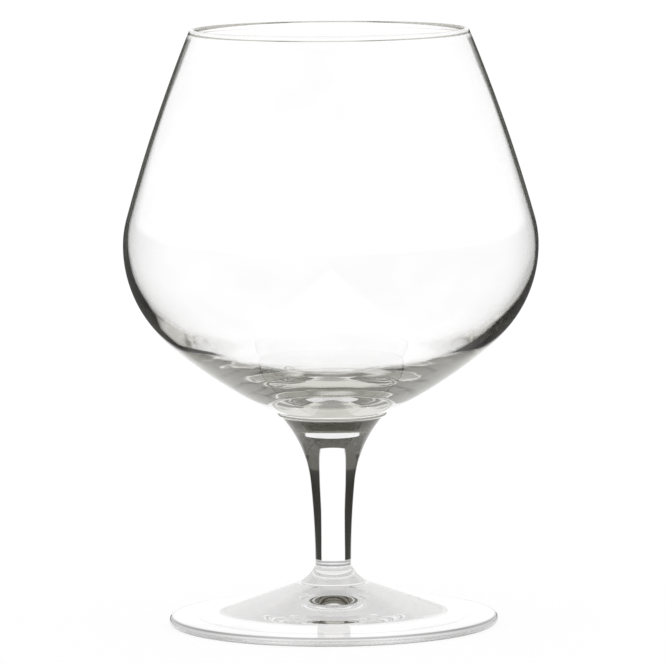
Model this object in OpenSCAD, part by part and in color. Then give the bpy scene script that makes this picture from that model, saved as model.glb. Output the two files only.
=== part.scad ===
// Brandy snifter in clear glass: a blown bowl, a solid drawn stem and a pressed
// foot, fused end to end. The z axis is the glass's own axis, and the foot's
// resting ring lies on z = 0.

/* [Overall] */
// Height from the table to the top of the rim
height = 130; // [116:1:160]

/* [Bowl] */
// Diameter at the widest place, outside
belly_d = 90.4; // [84:0.2:108]
// Height of the widest place above the stem
belly_rise = 36.6; // [33:0.2:45]
// Diameter of the mouth over its bead
rim_d = 61; // [50:0.5:74]
// Thickness of the glass at the widest place
belly_wall = 1.2; // [0.9:0.1:2]
// Thickness of the glass just under the bead
rim_wall = 1; // [0.8:0.05:1.3]
// Diameter of the fire-polished bead round the mouth
bead_d = 1.4; // [1.35:0.05:2]
// Outline radius over the widest place
shoulder_r = 22; // [16:0.5:32]
// Outline radius of the long wall up to the rim
wall_r = 360; // [200:5:600]
// Outline radius under the widest place
hip_r = 28; // [22:0.5:31]
// Outline radius of the underside, from the hip to the stem
base_r = 107; // [80:1:200]
// Radius of the cavity under its widest place
cavity_hip_r = 24.5; // [20:0.5:28]
// Glass on the axis between the cavity and the stem
base_glass = 5.3; // [3:0.1:7]

/* [Stem] */
// Length of the stem, from the foot to the bowl
stem_length = 33.9; // [26:0.1:42]
// Diameter of the stem where the bowl sits on it
stem_top_d = 24; // [20:0.2:28]
// Diameter of the stem at its slimmest, where the foot carries it
stem_end_d = 7.8; // [6:0.1:10]
// Outline radius of the flare under the bowl
flare_r = 25.5; // [18:0.5:30]
// Outline radius of the slim shank
shank_r = 192; // [120:2:400]
// Rounding of the stem's edge at the bowl's weld
weld_round = 0.9; // [0.5:0.1:1.5]

/* [Foot] */
// Diameter of the foot
foot_d = 72; // [64:1:90]
// Thickness of the foot's rounded edge
edge_t = 2; // [1.6:0.1:2.6]
// Diameter at which the cone of the foot runs out into its flange
cone_d = 50; // [42:0.5:56]
// Height of the foot at that diameter
cone_end_height = 3; // [2.6:0.1:4]
// Blend radius between the cone and the flange
cone_blend_r = 9; // [4:0.5:12]
// Height of the foot's cone, where the boss stands on it
cone_height = 9; // [8:0.1:10]
// Height of the boss on the cone
boss_rise = 3.5; // [2.5:0.1:6]
// Diameter of the boss at its skirt
boss_d = 14; // [12:0.2:18]
// Outline radius of the boss's hollowed side
boss_side_r = 7; // [5:0.5:14]
// Rounding of the boss's top edge, which the stem leaves free, and of its skirt
boss_round = 0.3; // [0.2:0.05:0.6]
// Width of the ledge of the foot round the boss
ledge_w = 1; // [0.5:0.1:2]
// Width of the flat ring on which the foot rests
ring_w = 5; // [2:0.5:8]
// Depth of the hollow under the foot
hollow_depth = 4; // [2:0.1:4.5]

/* [Hidden] */
$fn = 96;

// How far the cavity's widest place lies above the bowl's
cavity_lift = 0.8;
// Longest straight step and widest turns between two points of an outline
outline_step = 2.5;
smooth_turn = 3;
bead_turn = 15;

foot_weld_height = cone_height + boss_rise;
bowl_weld_height = foot_weld_height + stem_length;
belly_height = bowl_weld_height + belly_rise;
bead_r = bead_d / 2;
cavity_floor = bowl_weld_height + base_glass;
cavity_height = belly_height + cavity_lift;
cavity_r = belly_d / 2 - belly_wall;

// Point where a circle round a meets a circle round b, on the left or right of the way from a to b
function meet(a, ra, b, rb, side) =
    let (
        gap = norm(b - a),
        along = (ra * ra - rb * rb + gap * gap) / (2 * gap),
        way = (b - a) / gap
    )
    a + along * way + side * sqrt(ra * ra - along * along) * [-way[1], way[0]];

function bearing(a, b) = atan2(b[1] - a[1], b[0] - a[0]);

function on_circle(centre, r, angle) = centre + r * [cos(angle), sin(angle)];

// Points along an arc, both ends included
function arc(centre, r, from, to, turn) =
    let (
        sweep = to - from,
        length = abs(sweep) * PI / 180 * r,
        steps = max(1, ceil(abs(sweep) / turn), ceil(length / outline_step))
    )
    [for (i = [0:steps]) on_circle(centre, r, from + sweep * i / steps)];

// Arc of radius r that rounds the corner q on the way from p to s
function blend(p, q, s, r, turn) =
    let (
        back = (p - q) / norm(p - q),
        ahead = (s - q) / norm(s - q),
        half = acos(back * ahead) / 2,
        centre = q + r / sin(half) * (back + ahead) / norm(back + ahead),
        start = bearing(centre, q + r / tan(half) * back),
        end = bearing(centre, q + r / tan(half) * ahead),
        sweep = end - start
    )
    arc(centre, r, start, start + sweep - 360 * round(sweep / 360), turn);

// Bowl, outside: base arc, hip arc, shoulder arc, wall arc, all tangent to each other
weld_edge = [stem_top_d / 2, bowl_weld_height];
hip_centre = [belly_d / 2 - hip_r, belly_height];
base_centre = meet(hip_centre, base_r - hip_r, weld_edge, base_r, -1);
shoulder_centre = [belly_d / 2 - shoulder_r, belly_height];
bead_centre = [rim_d / 2 - bead_r, height - bead_r];
wall_centre = meet(shoulder_centre, wall_r - shoulder_r, bead_centre, wall_r - bead_r, 1);
hip_angle = bearing(base_centre, hip_centre);
shoulder_angle = bearing(wall_centre, shoulder_centre);
bead_angle = bearing(wall_centre, bead_centre);

bowl_outside = concat(
    arc(base_centre, base_r, bearing(base_centre, weld_edge), hip_angle, smooth_turn),
    arc(hip_centre, hip_r, hip_angle, 0, smooth_turn),
    arc(shoulder_centre, shoulder_r, 0, shoulder_angle, smooth_turn),
    arc(wall_centre, wall_r, shoulder_angle, bead_angle, smooth_turn)
);

// Bead, from the outside of the wall over the rim to the inside
bead_end_angle = bead_angle + 180 + acos(rim_wall / bead_r - 1);
bead_end = on_circle(bead_centre, bead_r, bead_end_angle);
bead_outline = concat(
    arc(bead_centre, bead_r, bead_angle, 90, bead_turn),
    arc(bead_centre, bead_r, 90, bead_end_angle, bead_turn)
);

// Cavity: wall arc, shoulder arc, hip arc and a round floor centred on the axis
inner_shoulder_r = shoulder_r - belly_wall;
inner_shoulder_centre = [cavity_r - inner_shoulder_r, cavity_height];
inner_wall_centre = meet(inner_shoulder_centre, wall_r - inner_shoulder_r, bead_end, wall_r, 1);
inner_shoulder_angle = bearing(inner_wall_centre, inner_shoulder_centre);
cavity_hip_centre = [cavity_r - cavity_hip_r, cavity_height];
floor_reach = cavity_floor + cavity_hip_r;
floor_centre_height = (floor_reach * floor_reach - cavity_height * cavity_height
    - cavity_hip_centre[0] * cavity_hip_centre[0]) / (2 * (floor_reach - cavity_height));
floor_centre = [0, floor_centre_height];
floor_r = floor_centre_height - cavity_floor;
floor_angle = bearing(floor_centre, cavity_hip_centre);

cavity_outline = concat(
    arc(inner_wall_centre, wall_r, bearing(inner_wall_centre, bead_end), inner_shoulder_angle, smooth_turn),
    arc(inner_shoulder_centre, inner_shoulder_r, inner_shoulder_angle, 0, smooth_turn),
    arc(cavity_hip_centre, cavity_hip_r, 0, floor_angle, smooth_turn),
    arc(floor_centre, floor_r, floor_angle, -90, smooth_turn)
);

// Stem: slim shank from the foot's weld, then the flare, then the rounded edge under the bowl
shank_centre = [stem_end_d / 2 + shank_r, foot_weld_height];
flare_end = [stem_top_d / 2 - weld_round, bowl_weld_height - weld_round];
flare_centre = meet(shank_centre, shank_r - flare_r, flare_end, flare_r, 1);
flare_angle = bearing(shank_centre, flare_centre);

stem_outline = concat(
    arc(shank_centre, shank_r, 180, flare_angle, smooth_turn),
    arc(flare_centre, flare_r, flare_angle, bearing(flare_centre, flare_end), smooth_turn),
    arc([flare_end[0], bowl_weld_height], weld_round, -90, 0, bead_turn)
);

// Foot, top side: boss, ledge round it, cone and flange
boss_top_r = stem_end_d / 2 + boss_round;
boss_edge = [boss_top_r, foot_weld_height];
boss_side_top = [boss_top_r, foot_weld_height - boss_round];
boss_skirt_top = [boss_d / 2, cone_height + boss_round];
boss_side_centre = meet(boss_side_top, boss_side_r, boss_skirt_top, boss_side_r, 1);
ledge_edge = [boss_d / 2 + ledge_w, cone_height];
cone_end = [cone_d / 2, cone_end_height];
edge_r = edge_t / 2;
edge_centre = [foot_d / 2 - edge_r, edge_r];
flange_angle = bearing(edge_centre, cone_end) - acos(edge_r / norm(cone_end - edge_centre));
flange_end = on_circle(edge_centre, edge_r, flange_angle);

foot_top = concat(
    [[0, foot_weld_height]],
    blend([0, foot_weld_height], boss_edge, boss_side_top - [0, boss_round], boss_round, bead_turn),
    arc(
        boss_side_centre, boss_side_r,
        bearing(boss_side_centre, boss_side_top), bearing(boss_side_centre, boss_skirt_top), smooth_turn
    ),
    [[boss_d / 2, cone_height]],
    blend([boss_d / 2, cone_height], ledge_edge, cone_end, ledge_w, smooth_turn),
    blend(ledge_edge, cone_end, flange_end, cone_blend_r, smooth_turn)
);

// Foot, underside: rounded edge, flat resting ring and a round hollow
hollow_d = foot_d - edge_t - 2 * ring_w;
hollow_r = (hollow_d * hollow_d / 4 + hollow_depth * hollow_depth) / (2 * hollow_depth);
hollow_centre = [0, hollow_depth - hollow_r];
foot_underside = concat(
    arc(edge_centre, edge_r, flange_angle, -90, bead_turn),
    arc(hollow_centre, hollow_r, bearing(hollow_centre, [hollow_d / 2, 0]), 90, smooth_turn)
);

module bowl() {
    color([0.86, 0.9, 0.89, 0.5])
        rotate_extrude()
            polygon(concat([[0, bowl_weld_height]], bowl_outside, bead_outline, cavity_outline));
}

module stem() {
    color([0.8, 0.85, 0.83, 0.5])
        rotate_extrude()
            polygon(concat([[0, foot_weld_height]], stem_outline, [[0, bowl_weld_height]]));
}

module foot() {
    color([0.9, 0.93, 0.92, 0.5])
        rotate_extrude()
            polygon(concat(foot_top, foot_underside));
}

bowl();
stem();
foot();
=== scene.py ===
import math

import bmesh
import bpy
from mathutils import Matrix, Vector


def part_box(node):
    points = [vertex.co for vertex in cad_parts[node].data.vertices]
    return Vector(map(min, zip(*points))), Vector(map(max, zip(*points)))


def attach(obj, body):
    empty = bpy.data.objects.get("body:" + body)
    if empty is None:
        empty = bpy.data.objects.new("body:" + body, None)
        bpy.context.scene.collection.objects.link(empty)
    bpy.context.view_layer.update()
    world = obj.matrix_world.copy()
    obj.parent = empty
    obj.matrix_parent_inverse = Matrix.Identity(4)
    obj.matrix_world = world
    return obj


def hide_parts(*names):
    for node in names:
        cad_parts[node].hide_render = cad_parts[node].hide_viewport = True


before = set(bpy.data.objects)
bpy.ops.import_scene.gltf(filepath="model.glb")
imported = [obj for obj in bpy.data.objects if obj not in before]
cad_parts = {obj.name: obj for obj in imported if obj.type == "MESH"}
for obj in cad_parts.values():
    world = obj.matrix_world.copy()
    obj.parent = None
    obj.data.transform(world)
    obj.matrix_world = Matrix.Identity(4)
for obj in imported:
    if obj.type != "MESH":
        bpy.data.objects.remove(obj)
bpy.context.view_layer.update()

bl_info = {
    "name": "Brandy Snifter",
    "version": (1, 0, 0),
    "blender": (4, 5, 0),
    "location": "View3D > Sidebar > Snifter",
    "description": "Builds a clear brandy snifter, with bowl, stem and foot, on a pale studio floor",
    "category": "Add Mesh",
}

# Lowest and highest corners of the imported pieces, in metres
BOWL_LOW, BOWL_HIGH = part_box("bowl")
STEM_LOW, STEM_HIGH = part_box("stem")
FOOT_LOW, FOOT_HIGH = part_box("foot")

AXIS = Vector((0, 0, 1))
# Turns an outline the way its polar angle grows, from +X towards +Z
OUTLINE_AXIS = Vector((0, -1, 0))
FULL_TURN = 2 * math.pi
# Steps round the axis, longest step along an outline, widest turn between two points of it
ROUND_STEPS = 256
OUTLINE_STEP = 0.0011
OUTLINE_TURN = math.radians(3)
BEAD_TURN = math.radians(9)
# Distance in metres within which points are one, and heights alike, and the turn that is a sharp edge
SAME_PLACE = 1e-7
SAME_HEIGHT = 1e-6
SHARP_ANGLE = math.radians(35)

# Brightness of the studio over its height (sine of the elevation) and of the floor over the
# distance from the glass (metres): as seen through the glass, as mirrored on its outside, and
# as it leaves the glass after reflections inside it
SKY_THROUGH = ((0.0, 1.06), (1.0, 1.06))
SKY_OUTSIDE = ((0.06, 0.1), (0.11, 1.0), (0.5, 0.9), (0.62, 0.3))
SKY_INSIDE = ((0.0, 1.0), (0.5, 1.05), (0.62, 0.9))
FLOOR_THROUGH = ((0.036, 1.0), (0.06, 1.06))
FLOOR_OUTSIDE = ((0.045, 0.6), (0.06, 0.8), (0.09, 0.4), (0.13, 0.06))
FLOOR_INSIDE = ((0.1, 1.05), (0.2, 0.95))
# The bright strip behind the glass, as the glass's outside mirrors it: how it widens towards +Y,
# how it ends upwards, and where it fades out at its sides, on the floor and in the sky
STRIP_SPREAD = -0.1
STRIP_RISE = 0.2
STRIP_ON_FLOOR = ((0.05, 1.12), (0.062, 0.0))
STRIP_IN_SKY = ((0.02, 1.12), (0.04, 0.0))
# Share of the floor's own shine, next to the shadow that falls on it
SHINE_SHARE = 0.9
# Radius of the round floor in metres, and steps round it
FLOOR_R = 3.0
FLOOR_STEPS = 128

# The camera of the photo: place and aim in metres, lens and sensor in millimetres, and its tilt
CAMERA_PLACE = Vector((0.00022, -1.37, 0.205))
CAMERA_AIM = Vector((0.00022, 0, 0.06376))
CAMERA_LENS = 342.56
CAMERA_SENSOR = 36
CAMERA_ROLL = math.radians(-0.46)
# Light turns back many times in the rim's bead and in the wall before it leaves
LIGHT_BOUNCES = 200
GLASS_BOUNCES = 160
WELD_BOUNCES = 48

# Half the width round the axis over which the bowl's left and right painted shade slants pass into each
# other
SHADE_SLANT_HALF_WIDTH = 0.02
# Turns inside the glass from which light counts as turned back: any, or guided round the bowl's wall
ANY_TURN = 0.5
WALL_TURNS = 3.5
# Clarity of the glass over its noise, and the noise's layers of finer detail
CLOUD = ((0.35, 0.975), (0.6, 1.0))
NOISE_DETAIL = 2
# Factor with which the second of two blended colours doesn't show
NO_SHARE = (0, 0, 0, 1)


class GlassLook:
    """How a piece's glass looks. Pairs are stops: where, and how grey or how much. Heights are in metres."""

    # How much of the painted slant shade shows over the slant of the surface as seen: 0 square on, 1 edge on
    edge = ()
    # Painted shade over the height where light enters at a slant
    slant = ()
    # Painted shade over the height where light leaves that was turned back inside, and from how many turns
    # on
    deep = ()
    turns = ANY_TURN
    # Grains of noise a metre along x, y and z, and height of the ripples in metres
    grain = (1, 1, 1)
    ripple = 0.0
    # Slant added over the height at -X and at +X, which makes the painted shade differ between the two sides
    shade_slant = ()
    # Painted shade over the height
    bands = ()
    # Painted shade over the distance from the axis, in the middle plane and at the sides, and the distances
    # from that plane between which the one passes into the other
    rings = ()
    ring_blend = ()
    # Share of the ripples over the height, and roughness over the height
    uneven = ()
    scuffs = ()


class BowlLook(GlassLook):
    """Blown glass, with painted shade that is deeper at one side than at the other; its thick base ripples
    most.
    """

    edge = ((0.6, 0.0), (0.84, 0.05), (0.885, 1.0))
    slant = (
        (0.0612, 1.0), (0.0617, 0.004), (0.08, 0.003), (0.09, 0.012), (0.105, 0.015), (0.1281, 0.01),
        (0.1289, 0.8))
    deep = (
        (0.06, 0.055), (0.0632, 0.1), (0.0648, 0.55), (0.0668, 0.55), (0.0690, 0.12), (0.09, 0.2),
        (0.12, 0.5))
    turns = WALL_TURNS
    grain = (55, 55, 70)
    ripple = 0.00022
    # Painted shade: extra slant over the height, different at -X and at +X
    shade_slant = (
        ((0.0612, 0.28), (0.0624, 0.26), (0.0630, 0.1), (0.0664, 0.11), (0.0694, 0.185), (0.0725, 0.185),
         (0.0768, 0.14), (0.083, 0.11), (0.089, 0.08), (0.106, 0.085), (0.115, 0.1), (0.122, 0.13)),
        ((0.0612, 0.24), (0.0680, 0.225), (0.0725, 0.14), (0.0785, 0.05), (0.089, 0.07), (0.106, 0.085),
         (0.115, 0.1), (0.122, 0.13)))
    uneven = ((0.0585, 1.0), (0.063, 0.014))


class StemLook(GlassLook):
    """Drawn glass, with painted shade: dark at its sides, and a thin painted grey band over its lower weld.
    """

    edge = ((0.435, 0.0), (0.46, 1.0))
    slant = (
        (0.0138, 1.0), (0.0142, 0.001), (0.0339, 0.001), (0.0344, 0.012), (0.0417, 0.012), (0.0428, 0.04),
        (0.0452, 0.03), (0.0456, 1.0))
    deep = ((0.0, 0.45), (1.0, 0.45))
    grain = (260, 260, 22)
    ripple = 0.000002
    shade_slant = (
        ((0.016, 0.2), (0.025, 0.24), (0.0391, 0.24), (0.0395, 0.34), (0.0414, 0.34), (0.0417, 0.0),
         (0.0426, 0.0), (0.0429, 0.34)),) * 2
    # Painted shade: a thin grey band over the lower weld
    bands = ((0.0128, 1.0), (0.0130, 0.18), (0.0133, 0.18), (0.0135, 1.0))


class FootLook(GlassLook):
    """Pressed glass, with painted shade: a pale grey boss and an edge that is darker at its sides; and a
    scuffed resting ring.
    """

    edge = ((0.93, 0.0), (1.0, 1.0))
    slant = ((0.0, 0.9), (1.0, 0.9))
    deep = ((0.0, 0.55), (1.0, 0.55))
    grain = (90, 90, 90)
    ripple = 0.00005
    # Painted shade: a pale grey boss, and the edge darker at the sides
    rings = (
        ((0.0070, 0.8), (0.0074, 1.0), (0.0344, 1.0), (0.0352, 0.75), (0.0354, 0.25), (0.0357, 0.25),
         (0.0359, 0.85)),
        ((0.0070, 0.8), (0.0074, 1.0), (0.0344, 1.0), (0.0352, 0.6), (0.0354, 0.12), (0.0357, 0.12),
         (0.0359, 0.4)))
    ring_blend = (0.012, 0.028)
    scuffs = ((0.0001, 0.25), (0.0004, 0.03))


class SnifterSizes(bpy.types.PropertyGroup):
    """Sizes of the glass, in metres. The frame gives the outer ones"""

    height: bpy.props.FloatProperty(
        name="Height", description="From the table to the top of the rim",
        default=BOWL_HIGH.z, unit="LENGTH", precision=4)
    belly_r: bpy.props.FloatProperty(
        name="Belly radius", description="Outer radius at the widest place",
        default=BOWL_HIGH.x, unit="LENGTH", precision=4)
    belly_rise: bpy.props.FloatProperty(
        name="Belly rise", description="Height of the widest place above the stem",
        default=0.0366, unit="LENGTH", precision=4)
    rim_r: bpy.props.FloatProperty(
        name="Rim radius", description="Outer radius of the mouth over its bead",
        default=0.0305, unit="LENGTH", precision=4)
    belly_wall: bpy.props.FloatProperty(
        name="Belly wall", description="Thickness of the glass at the widest place",
        default=0.0012, unit="LENGTH", precision=4)
    rim_wall: bpy.props.FloatProperty(
        name="Rim wall", description="Thickness of the glass just under the bead",
        default=0.001, unit="LENGTH", precision=4)
    bead_r: bpy.props.FloatProperty(
        name="Bead radius", description="Radius of the fire-polished bead round the mouth",
        default=0.0007, unit="LENGTH", precision=4)
    shoulder_r: bpy.props.FloatProperty(
        name="Shoulder", description="Outline radius over the widest place",
        default=0.022, unit="LENGTH", precision=4)
    wall_r: bpy.props.FloatProperty(
        name="Wall", description="Outline radius of the long wall up to the rim",
        default=0.36, unit="LENGTH", precision=4)
    hip_r: bpy.props.FloatProperty(
        name="Hip", description="Outline radius under the widest place",
        default=0.028, unit="LENGTH", precision=4)
    base_r: bpy.props.FloatProperty(
        name="Base", description="Outline radius of the underside, from the hip to the stem",
        default=0.107, unit="LENGTH", precision=4)
    cavity_hip_r: bpy.props.FloatProperty(
        name="Cavity hip", description="Radius of the cavity under its widest place",
        default=0.0245, unit="LENGTH", precision=4)
    cavity_lift: bpy.props.FloatProperty(
        name="Cavity lift", description="How far the cavity's widest place lies above the bowl's",
        default=0.0008, unit="LENGTH", precision=4)
    base_glass: bpy.props.FloatProperty(
        name="Base glass", description="Glass on the axis between the cavity and the stem",
        default=0.0053, unit="LENGTH", precision=4)
    stem_end_r: bpy.props.FloatProperty(
        name="Stem end", description="Radius of the stem at its slimmest, where the foot carries it",
        default=0.0039, unit="LENGTH", precision=4)
    flare_r: bpy.props.FloatProperty(
        name="Flare", description="Outline radius of the flare under the bowl",
        default=0.0255, unit="LENGTH", precision=4)
    shank_r: bpy.props.FloatProperty(
        name="Shank", description="Outline radius of the slim shank",
        default=0.192, unit="LENGTH", precision=4)
    weld_round: bpy.props.FloatProperty(
        name="Weld rounding", description="Rounding of the stem's edge at the bowl's weld",
        default=0.0009, unit="LENGTH", precision=4)
    edge_r: bpy.props.FloatProperty(
        name="Edge", description="Radius of the foot's rounded edge",
        default=0.001, unit="LENGTH", precision=4)
    cone_r: bpy.props.FloatProperty(
        name="Cone radius", description="Radius at which the foot's cone runs out into its flange",
        default=0.025, unit="LENGTH", precision=4)
    cone_end_height: bpy.props.FloatProperty(
        name="Cone end", description="Height of the foot at that radius",
        default=0.003, unit="LENGTH", precision=4)
    cone_blend_r: bpy.props.FloatProperty(
        name="Cone blend", description="Blend radius between the cone and the flange",
        default=0.009, unit="LENGTH", precision=4)
    cone_height: bpy.props.FloatProperty(
        name="Cone height", description="Height of the foot's cone, where the boss stands on it",
        default=0.009, unit="LENGTH", precision=4)
    boss_r: bpy.props.FloatProperty(
        name="Boss", description="Radius of the boss at its skirt",
        default=0.007, unit="LENGTH", precision=4)
    boss_side_r: bpy.props.FloatProperty(
        name="Boss side", description="Outline radius of the boss's hollowed side",
        default=0.007, unit="LENGTH", precision=4)
    boss_round: bpy.props.FloatProperty(
        name="Boss rounding", description="Rounding of the boss's top edge and skirt",
        default=0.0003, unit="LENGTH", precision=4)
    ledge_w: bpy.props.FloatProperty(
        name="Ledge", description="Width of the ledge of the foot round the boss",
        default=0.001, unit="LENGTH", precision=4)
    ring_w: bpy.props.FloatProperty(
        name="Resting ring", description="Width of the flat ring on which the foot rests",
        default=0.005, unit="LENGTH", precision=4)
    hollow_depth: bpy.props.FloatProperty(
        name="Hollow", description="Depth of the hollow under the foot",
        default=0.004, unit="LENGTH", precision=4)


class SnifterFinish(bpy.types.PropertyGroup):
    """Colours and optical values of the glass and its studio"""

    clear: bpy.props.FloatVectorProperty(
        name="Clear glass", description="Tint of light that crosses the glass square to its surface",
        default=(1.0, 1.0, 1.0, 1.0), size=4, subtype="COLOR", min=0, max=1)
    # Colour shift of the glass's painted shade, in its dark tones
    cast: bpy.props.FloatVectorProperty(
        name="Cast",
        description="Shift of red, green and blue in the glass's dark tones, as shares of their grey",
        default=(0.0, -0.05, -0.3), size=3)
    # Colour shift of the foot's painted shade
    foot_cast: bpy.props.FloatVectorProperty(
        name="Foot cast", description="The same shift in the foot's pressed glass",
        default=(0.03, -0.01, -0.03), size=3)
    ior: bpy.props.FloatProperty(
        name="Refraction", description="Index of refraction of soda-lime glass", default=1.5)
    paper: bpy.props.FloatVectorProperty(
        name="Sweep", description="Colour of the studio sweep",
        default=(1.0, 1.0, 1.0, 1.0), size=4, subtype="COLOR", min=0, max=1)


def bearing(a, b):
    """Angle of the way from a to b in the outline's plane."""
    return math.atan2(b.y - a.y, b.x - a.x)


def on_circle(centre, r, angle):
    """Point of a circle at an angle."""
    return centre + r * Vector((math.cos(angle), math.sin(angle)))


def meet(a, ra, b, rb, side):
    """Point where a circle round a meets a circle round b, on the left or right of the way from a to b."""
    gap = (b - a).length
    along = (ra * ra - rb * rb + gap * gap) / (2 * gap)
    way = (b - a) / gap
    return a + along * way + side * math.sqrt(ra * ra - along * along) * Vector((-way.y, way.x))


class Outline:
    """Half of a round piece's section: a chain of edges from the axis, out, and back to the axis."""

    def __init__(self, start):
        self.bm = bmesh.new()
        self.end = self.bm.verts.new((start.x, 0, start.y))

    def line(self, target):
        """Carries the outline straight on to the target."""
        made = bmesh.ops.extrude_vert_indiv(self.bm, verts=[self.end])
        self.end = made["verts"][0]
        bmesh.ops.translate(self.bm, verts=[self.end], vec=Vector((target.x, 0, target.y)) - self.end.co)

    def arc(self, centre, target_angle, turn=OUTLINE_TURN):
        """Sweeps the outline's end about the centre until it lies at the target angle, the short way."""
        here = Vector((self.end.co.x, self.end.co.z))
        sweep = target_angle - bearing(centre, here)
        sweep -= FULL_TURN * round(sweep / FULL_TURN)
        length = abs(sweep) * (here - centre).length
        made = bmesh.ops.spin(
            self.bm, geom=[self.end], cent=(centre.x, 0, centre.y), axis=OUTLINE_AXIS, angle=sweep,
            steps=max(1, math.ceil(abs(sweep) / turn), math.ceil(length / OUTLINE_STEP)),
            use_merge=False, use_duplicate=False)
        self.end = next(v for v in made["geom_last"] if isinstance(v, bmesh.types.BMVert))

    def corner(self, corner, ahead, r, turn=OUTLINE_TURN):
        """Runs straight towards the corner, and rounds it with radius r on the way ahead."""
        here = Vector((self.end.co.x, self.end.co.z))
        back = (here - corner).normalized()
        on = (ahead - corner).normalized()
        half = back.angle(on) / 2
        centre = corner + (back + on).normalized() * (r / math.sin(half))
        self.line(corner + back * (r / math.tan(half)))
        self.arc(centre, bearing(centre, corner + on * (r / math.tan(half))), turn)

    def turned(self, name, weld_heights):
        """Turns the outline about the axis into a closed mesh, with its weld faces in the second slot."""
        bm = self.bm
        bmesh.ops.spin(
            bm, geom=bm.verts[:] + bm.edges[:], cent=(0, 0, 0), axis=AXIS, angle=FULL_TURN,
            steps=ROUND_STEPS, use_merge=True, use_duplicate=False)
        bmesh.ops.remove_doubles(bm, verts=bm.verts[:], dist=SAME_PLACE)
        bmesh.ops.recalc_face_normals(bm, faces=bm.faces[:])
        for face in bm.faces:
            face.smooth = True
            face.material_index = int(any(
                all(abs(v.co.z - height) < SAME_HEIGHT for v in face.verts) for height in weld_heights))
        for edge in bm.edges:
            edge.smooth = edge.calc_face_angle(0) < SHARP_ANGLE
        mesh = bpy.data.meshes.new(name)
        bm.to_mesh(mesh)
        bm.free()
        obj = bpy.data.objects.new(name, mesh)
        bpy.context.scene.collection.objects.link(obj)
        return obj


def bowl_outline(s):
    """Section of the bowl: underside, hip, shoulder and wall, the bead over the rim, and the cavity."""
    weld = STEM_HIGH.z
    belly_height = weld + s.belly_rise
    weld_edge = Vector((STEM_HIGH.x, weld))
    hip = Vector((s.belly_r - s.hip_r, belly_height))
    base = meet(hip, s.base_r - s.hip_r, weld_edge, s.base_r, -1)
    shoulder = Vector((s.belly_r - s.shoulder_r, belly_height))
    bead = Vector((s.rim_r - s.bead_r, s.height - s.bead_r))
    wall = meet(shoulder, s.wall_r - s.shoulder_r, bead, s.wall_r - s.bead_r, 1)
    bead_end_angle = bearing(wall, bead) + math.pi + math.acos(s.rim_wall / s.bead_r - 1)

    outline = Outline(Vector((0, weld)))
    outline.line(weld_edge)
    outline.arc(base, bearing(base, hip))
    outline.arc(hip, 0)
    outline.arc(shoulder, bearing(wall, shoulder))
    outline.arc(wall, bearing(wall, bead))
    for angle in (math.pi / 2, math.pi, bead_end_angle):
        outline.arc(bead, angle, BEAD_TURN)
    bead_end = on_circle(bead, s.bead_r, bead_end_angle)
    line_cavity(outline, s, weld + s.base_glass, belly_height + s.cavity_lift, bead_end)
    return outline


def line_cavity(outline, s, bottom, belly_height, bead_end):
    """Takes the bowl's outline on from the bead: the cavity's wall, shoulder, hip and round floor."""
    belly_r = s.belly_r - s.belly_wall
    shoulder_r = s.shoulder_r - s.belly_wall
    shoulder = Vector((belly_r - shoulder_r, belly_height))
    wall = meet(shoulder, s.wall_r - shoulder_r, bead_end, s.wall_r, 1)
    hip = Vector((belly_r - s.cavity_hip_r, belly_height))
    reach = bottom + s.cavity_hip_r
    floor = Vector((0, (reach ** 2 - hip.length_squared) / (2 * (reach - belly_height))))
    outline.arc(wall, bearing(wall, shoulder))
    outline.arc(shoulder, 0)
    outline.arc(hip, bearing(floor, hip))
    outline.arc(floor, -math.pi / 2)


def stem_outline(s):
    """Section of the stem: slim shank, flare, and the rounded edge under the bowl."""
    low, high = STEM_LOW.z, STEM_HIGH.z
    shank = Vector((s.stem_end_r + s.shank_r, low))
    flare_end = Vector((STEM_HIGH.x - s.weld_round, high - s.weld_round))
    flare = meet(shank, s.shank_r - s.flare_r, flare_end, s.flare_r, 1)

    outline = Outline(Vector((0, low)))
    outline.line(Vector((s.stem_end_r, low)))
    outline.arc(shank, bearing(shank, flare))
    outline.arc(flare, bearing(flare, flare_end))
    outline.arc(Vector((flare_end.x, high)), 0, BEAD_TURN)
    outline.line(Vector((0, high)))
    return outline


def foot_outline(s):
    """Section of the foot: boss, ledge, cone, flange and edge, then the resting ring and the hollow."""
    weld, foot_r = STEM_LOW.z, FOOT_HIGH.x
    boss_top_r = s.stem_end_r + s.boss_round
    side_top = Vector((boss_top_r, weld - s.boss_round))
    skirt_top = Vector((s.boss_r, s.cone_height + s.boss_round))
    side = meet(side_top, s.boss_side_r, skirt_top, s.boss_side_r, 1)
    ledge_edge = Vector((s.boss_r + s.ledge_w, s.cone_height))
    cone_end = Vector((s.cone_r, s.cone_end_height))
    edge = Vector((foot_r - s.edge_r, s.edge_r))
    flange_angle = bearing(edge, cone_end) - math.acos(s.edge_r / (cone_end - edge).length)
    flange_end = on_circle(edge, s.edge_r, flange_angle)
    hollow_r = foot_r - s.edge_r - s.ring_w
    dome_r = (hollow_r ** 2 + s.hollow_depth ** 2) / (2 * s.hollow_depth)
    dome = Vector((0, s.hollow_depth - dome_r))

    outline = Outline(Vector((0, weld)))
    outline.line(Vector((boss_top_r - s.boss_round, weld)))
    outline.arc(Vector((boss_top_r - s.boss_round, weld - s.boss_round)), 0, BEAD_TURN)
    outline.arc(side, bearing(side, skirt_top))
    outline.line(Vector((s.boss_r, s.cone_height)))
    outline.corner(ledge_edge, cone_end, s.ledge_w)
    outline.corner(cone_end, flange_end, s.cone_blend_r)
    outline.line(flange_end)
    outline.arc(edge, 0, BEAD_TURN)
    outline.arc(edge, -math.pi / 2, BEAD_TURN)
    outline.line(Vector((hollow_r, 0)))
    outline.arc(dome, math.pi / 2)
    return outline


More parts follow.
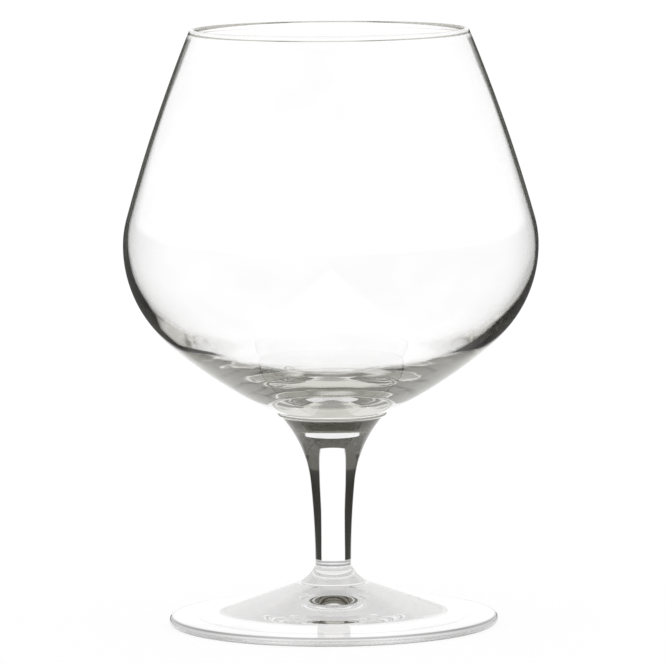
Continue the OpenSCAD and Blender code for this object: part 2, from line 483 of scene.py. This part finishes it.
class Shading:
    """Node tree of a material or a world. A value given to its nodes is a socket or a constant."""

    def __init__(self, owner):
        owner.use_nodes = True
        self.nodes, self.links = owner.node_tree.nodes, owner.node_tree.links
        self.nodes.clear()

    def give(self, socket, value):
        """Links a value to a socket, or sets it there."""
        if isinstance(value, bpy.types.NodeSocket):
            self.links.new(value, socket)
        else:
            socket.default_value = value

    def made(self, kind, **given):
        """A new node of a kind, with values for its named inputs."""
        node = self.nodes.new(kind)
        for name, value in given.items():
            self.give(node.inputs[name.replace("_", " ")], value)
        return node

    def calculate(self, operation, *values):
        """Result of an operation on values."""
        node = self.nodes.new("ShaderNodeMath")
        node.operation = operation
        for socket, value in zip(node.inputs, values):
            self.give(socket, value)
        return node.outputs["Value"]

    def length(self, vector):
        """Length of a vector."""
        node = self.nodes.new("ShaderNodeVectorMath")
        node.operation = "LENGTH"
        self.give(node.inputs[0], vector)
        return node.outputs["Value"]

    def share(self, value, low, high):
        """Share of the way from low to high at which a value lies, within 0 and 1."""
        node = self.made("ShaderNodeMapRange", Value=value, From_Min=low, From_Max=high)
        return node.outputs["Result"]

    def ramp(self, value, stops, span=(0, 1), cast=(0, 0, 0)):
        """Colour over a value's span through (value, grey) stops, with a cast on its darker greys."""
        node = self.made("ShaderNodeValToRGB", Fac=self.share(value, *span))
        elements = node.color_ramp.elements
        for i, (position, grey) in enumerate(stops):
            share = min(1, max(0, (position - span[0]) / (span[1] - span[0])))
            element = elements[i] if i < 2 else elements.new(share)
            element.position = share
            element.color = (*(grey * (1 + part * max(0, 1 - grey)) for part in cast), 1)
        return node.outputs["Color"]

    def blend(self, factor, a, b, kind="MIX"):
        """Mixes two colours by a factor."""
        node = self.nodes.new("ShaderNodeMix")
        node.data_type = "RGBA"
        node.blend_type = kind
        self.give(node.inputs["Factor"], factor)
        for name, colour in (("A", a), ("B", b)):
            self.give(next(s for s in node.inputs if s.name == name and s.type == "RGBA"), colour)
        return next(s for s in node.outputs if s.type == "RGBA")

    def times(self, *colours):
        """Product of colours."""
        product, *others = colours
        for colour in others:
            product = self.blend(1.0, product, colour, "MULTIPLY")
        return product

    def noise(self, coordinates, grain):
        """Soft noise with so many grains a metre along each axis."""
        scaled = self.made("ShaderNodeMapping", Vector=coordinates, Scale=grain).outputs["Vector"]
        noise = self.made("ShaderNodeTexNoise", Vector=scaled, Scale=1.0, Detail=NOISE_DETAIL)
        return noise.outputs["Fac"]


def new_material(name):
    """A material and its empty node tree."""
    material = bpy.data.materials.new(name)
    return material, Shading(material)


def surroundings(tree, value, strip, plain, through, outside, inside):
    """Colour of the floor or the sky over a value: plain to the camera, else as the glass shows it."""
    path = tree.nodes.new("ShaderNodeLightPath")
    through, outside, inside = (tree.ramp(value, stops) for stops in (through, outside, inside))
    outside = tree.blend(1.0, outside, strip, "LIGHTEN")
    entered = tree.calculate("GREATER_THAN", path.outputs["Transmission Depth"], ANY_TURN)
    mirrored = tree.blend(entered, outside, inside)
    turned_back = tree.calculate("GREATER_THAN", path.outputs["Glossy Depth"], ANY_TURN)
    in_glass = tree.blend(turned_back, through, mirrored)
    return tree.blend(path.outputs["Is Camera Ray"], in_glass, plain)


def bright_strip(tree, vector, stops):
    """Brightness of the strip behind the glass, at a place on the floor or in a direction of the sky."""
    parts = tree.made("ShaderNodeSeparateXYZ", Vector=vector)
    side = tree.calculate("ABSOLUTE", parts.outputs["X"])
    spread = tree.calculate("MULTIPLY", parts.outputs["Y"], STRIP_SPREAD)
    rise = tree.calculate("MULTIPLY", parts.outputs["Z"], STRIP_RISE)
    return tree.ramp(tree.calculate("ADD", side, tree.calculate("ADD", spread, rise)), stops)


def painted_glass_shade(tree, parts, look, span, clear, cast):
    """Painted shade of the glass, where light enters at a slant and where it leaves after turns inside."""
    side, height = parts["X"], parts["Z"]
    # Painted shade where the surface is seen at a slant, which gives the glass dark edges
    slanted = tree.made("ShaderNodeLayerWeight", Blend=0.5).outputs["Facing"]
    if look.shade_slant:
        # Painted shade, made to differ between the two sides by an extra slant over the height
        left, right = (tree.ramp(height, stops, span) for stops in look.shade_slant)
        shade_slant = tree.blend(tree.share(side, -SHADE_SLANT_HALF_WIDTH, SHADE_SLANT_HALF_WIDTH), left, right)
        slanted = tree.calculate("ADD", slanted, shade_slant)
    path = tree.nodes.new("ShaderNodeLightPath")
    entered = tree.calculate("GREATER_THAN", path.outputs["Transmission Depth"], ANY_TURN)
    edge = tree.blend(entered, tree.ramp(slanted, look.edge), NO_SHARE)
    turned_back = tree.calculate("GREATER_THAN", path.outputs["Glossy Depth"], look.turns)
    # Painted shade over the height where light enters at a slant, and where it leaves after turns inside
    shaded_tint = tree.times(
        tree.blend(edge, clear, tree.ramp(height, look.slant, span, cast)),
        tree.blend(turned_back, clear, tree.ramp(height, look.deep, span, cast)))
    # Painted grey band over the height
    if look.bands:
        shaded_tint = tree.times(shaded_tint, tree.ramp(height, look.bands, span))
    # Painted shade over the distance from the axis, darker at the sides
    if look.rings:
        flat = tree.made("ShaderNodeCombineXYZ", X=side, Y=parts["Y"])
        out = tree.length(flat.outputs["Vector"])
        middle, sides = (tree.ramp(out, stops, (0, FOOT_HIGH.x)) for stops in look.rings)
        across = tree.share(tree.calculate("ABSOLUTE", side), *look.ring_blend)
        shaded_tint = tree.times(shaded_tint, tree.blend(across, middle, sides))
    return shaded_tint


def glass_material(name, look, span, cast, finish):
    """Clear glass with its painted shade, faint clouding and ripples, for a piece with a span of heights."""
    material, tree = new_material(name)
    place = tree.nodes.new("ShaderNodeTexCoord").outputs["Object"]
    parts = tree.made("ShaderNodeSeparateXYZ", Vector=place).outputs
    noise = tree.noise(place, look.grain)
    # Painted shade of the glass, times its faint clouding
    shaded_tint = tree.times(
        painted_glass_shade(tree, parts, look, span, finish.clear, cast), tree.ramp(noise, CLOUD))
    strength = tree.ramp(parts["Z"], look.uneven, span) if look.uneven else 1.0
    roughness = tree.ramp(parts["Z"], look.scuffs, span) if look.scuffs else 0.0
    bump = tree.made("ShaderNodeBump", Height=noise, Strength=strength, Distance=look.ripple)
    glass = tree.made(
        "ShaderNodeBsdfPrincipled", Base_Color=shaded_tint, Transmission_Weight=1.0, Roughness=roughness,
        IOR=finish.ior, Normal=bump.outputs["Normal"])
    tree.made("ShaderNodeOutputMaterial", Surface=glass.outputs["BSDF"])
    return material


def weld_material():
    """Lets light pass a weld, as fused glass does."""
    material, tree = new_material("fused_weld")
    clear = tree.nodes.new("ShaderNodeBsdfTransparent")
    tree.made("ShaderNodeOutputMaterial", Surface=clear.outputs["BSDF"])
    return material


def paper_material(plain):
    """The pale floor: paper that takes the shadow, and the shine that it is seen by."""
    material, tree = new_material("pale_floor")
    place = tree.nodes.new("ShaderNodeNewGeometry").outputs["Position"]
    path = tree.nodes.new("ShaderNodeLightPath")
    paper = tree.made("ShaderNodeBsdfDiffuse", Color=plain)
    shine = tree.made("ShaderNodeEmission", Color=surroundings(
        tree, tree.length(place), bright_strip(tree, place, STRIP_ON_FLOOR), plain,
        FLOOR_THROUGH, FLOOR_OUTSIDE, FLOOR_INSIDE))
    glass_ray = tree.calculate("ADD", path.outputs["Is Glossy Ray"], path.outputs["Is Transmission Ray"])
    watched = tree.calculate("ADD", path.outputs["Is Camera Ray"], glass_ray)
    mix = tree.made("ShaderNodeMixShader", Fac=tree.calculate("MULTIPLY", watched, SHINE_SHARE))
    tree.give(mix.inputs[1], paper.outputs["BSDF"])
    tree.give(mix.inputs[2], shine.outputs["Emission"])
    tree.made("ShaderNodeOutputMaterial", Surface=mix.outputs["Shader"])
    return material


def studio_world(plain):
    """The soft studio light, with the dark surroundings and the strip that only the glass mirrors."""
    world = bpy.data.worlds.new("studio")
    tree = Shading(world)
    direction = tree.nodes.new("ShaderNodeTexCoord").outputs["Generated"]
    rise = tree.made("ShaderNodeSeparateXYZ", Vector=direction).outputs["Z"]
    back = tree.made("ShaderNodeBackground", Color=surroundings(
        tree, rise, bright_strip(tree, direction, STRIP_IN_SKY), plain,
        SKY_THROUGH, SKY_OUTSIDE, SKY_INSIDE))
    tree.made("ShaderNodeOutputWorld", Surface=back.outputs["Background"])
    return world


def studio_floor(paper):
    """The round pale floor, set on the stage."""
    bm = bmesh.new()
    bmesh.ops.create_circle(bm, cap_ends=True, segments=FLOOR_STEPS, radius=FLOOR_R)
    mesh = bpy.data.meshes.new("studio_floor")
    bm.to_mesh(mesh)
    bm.free()
    mesh.materials.append(paper_material(paper))
    floor = bpy.data.objects.new("studio_floor", mesh)
    bpy.context.scene.collection.objects.link(floor)


def photo_camera():
    """The camera, at the photo's place and angle."""
    camera = bpy.data.cameras.new("photo_camera")
    camera.lens = CAMERA_LENS
    camera.sensor_width = CAMERA_SENSOR
    holder = bpy.data.objects.new("photo_camera", camera)
    bpy.context.scene.collection.objects.link(holder)
    facing = (CAMERA_AIM - CAMERA_PLACE).to_track_quat("-Z", "Y").to_matrix().to_4x4()
    roll = Matrix.Rotation(CAMERA_ROLL, 4, "Z")
    holder.matrix_world = Matrix.Translation(CAMERA_PLACE) @ facing @ roll
    return holder


def glaze(obj, material):
    """Gives a piece its glass, and its weld faces the clear weld."""
    obj.data.materials.append(material)
    obj.data.materials.append(bpy.data.materials.get("fused_weld") or weld_material())


def settle(obj, node):
    """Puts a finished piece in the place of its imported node."""
    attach(obj, "root")
    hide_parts(node)


class SNIFTER_OT_bowl(bpy.types.Operator):
    """Turns the blown bowl with its cavity and its rounded rim"""

    bl_idname = "snifter.bowl"
    bl_label = "Bowl"

    def execute(self, context):
        finish = context.scene.snifter_finish
        obj = bowl_outline(context.scene.snifter_sizes).turned("blown_bowl", [STEM_HIGH.z])
        glaze(obj, glass_material("blown_glass", BowlLook, (BOWL_LOW.z, BOWL_HIGH.z), finish.cast, finish))
        settle(obj, "bowl")
        return {"FINISHED"}


class SNIFTER_OT_stem(bpy.types.Operator):
    """Turns the solid drawn stem with its flare"""

    bl_idname = "snifter.stem"
    bl_label = "Stem"

    def execute(self, context):
        finish = context.scene.snifter_finish
        span = STEM_LOW.z, STEM_HIGH.z
        obj = stem_outline(context.scene.snifter_sizes).turned("drawn_stem", span)
        glaze(obj, glass_material("drawn_glass", StemLook, span, finish.cast, finish))
        settle(obj, "stem")
        return {"FINISHED"}


class SNIFTER_OT_foot(bpy.types.Operator):
    """Turns the pressed foot with its boss, cone, flange and hollow"""

    bl_idname = "snifter.foot"
    bl_label = "Foot"

    def execute(self, context):
        finish = context.scene.snifter_finish
        span = FOOT_LOW.z, FOOT_HIGH.z
        obj = foot_outline(context.scene.snifter_sizes).turned("pressed_foot", [STEM_LOW.z])
        glaze(obj, glass_material("pressed_glass", FootLook, span, finish.foot_cast, finish))
        settle(obj, "foot")
        return {"FINISHED"}


class SNIFTER_OT_stage(bpy.types.Operator):
    """Sets the pale floor, the soft studio light and the camera"""

    bl_idname = "snifter.stage"
    bl_label = "Stage"

    def execute(self, context):
        scene = context.scene
        paper = scene.snifter_finish.paper
        studio_floor(paper)
        scene.world = studio_world(paper)
        scene.camera = photo_camera()
        scene.view_settings.view_transform = "Standard"
        scene.cycles.max_bounces = LIGHT_BOUNCES
        scene.cycles.glossy_bounces = GLASS_BOUNCES
        scene.cycles.transmission_bounces = GLASS_BOUNCES
        scene.cycles.transparent_max_bounces = WELD_BOUNCES
        return {"FINISHED"}


class SNIFTER_PT_panel(bpy.types.Panel):
    """Lists the pieces in the order in which they are made"""

    bl_idname = "SNIFTER_PT_panel"
    bl_label = "Brandy Snifter"
    bl_space_type = "VIEW_3D"
    bl_region_type = "UI"
    bl_category = "Snifter"

    def draw(self, context):
        for operator in OPERATORS:
            self.layout.operator(operator.bl_idname)


OPERATORS = (SNIFTER_OT_bowl, SNIFTER_OT_stem, SNIFTER_OT_foot, SNIFTER_OT_stage)
CLASSES = (SnifterSizes, SnifterFinish, *OPERATORS, SNIFTER_PT_panel)


def register():
    """Makes the sizes, the operators and the panel known to Blender."""
    for cls in CLASSES:
        bpy.utils.register_class(cls)
    bpy.types.Scene.snifter_sizes = bpy.props.PointerProperty(type=SnifterSizes)
    bpy.types.Scene.snifter_finish = bpy.props.PointerProperty(type=SnifterFinish)


def unregister():
    """Takes them away again."""
    del bpy.types.Scene.snifter_finish
    del bpy.types.Scene.snifter_sizes
    for cls in reversed(CLASSES):
        bpy.utils.unregister_class(cls)


def main():
    """Builds the glass on its stage."""
    register()
    bpy.ops.snifter.bowl()
    bpy.ops.snifter.stem()
    bpy.ops.snifter.foot()
    bpy.ops.snifter.stage()


if __name__ == "__main__":
    main()
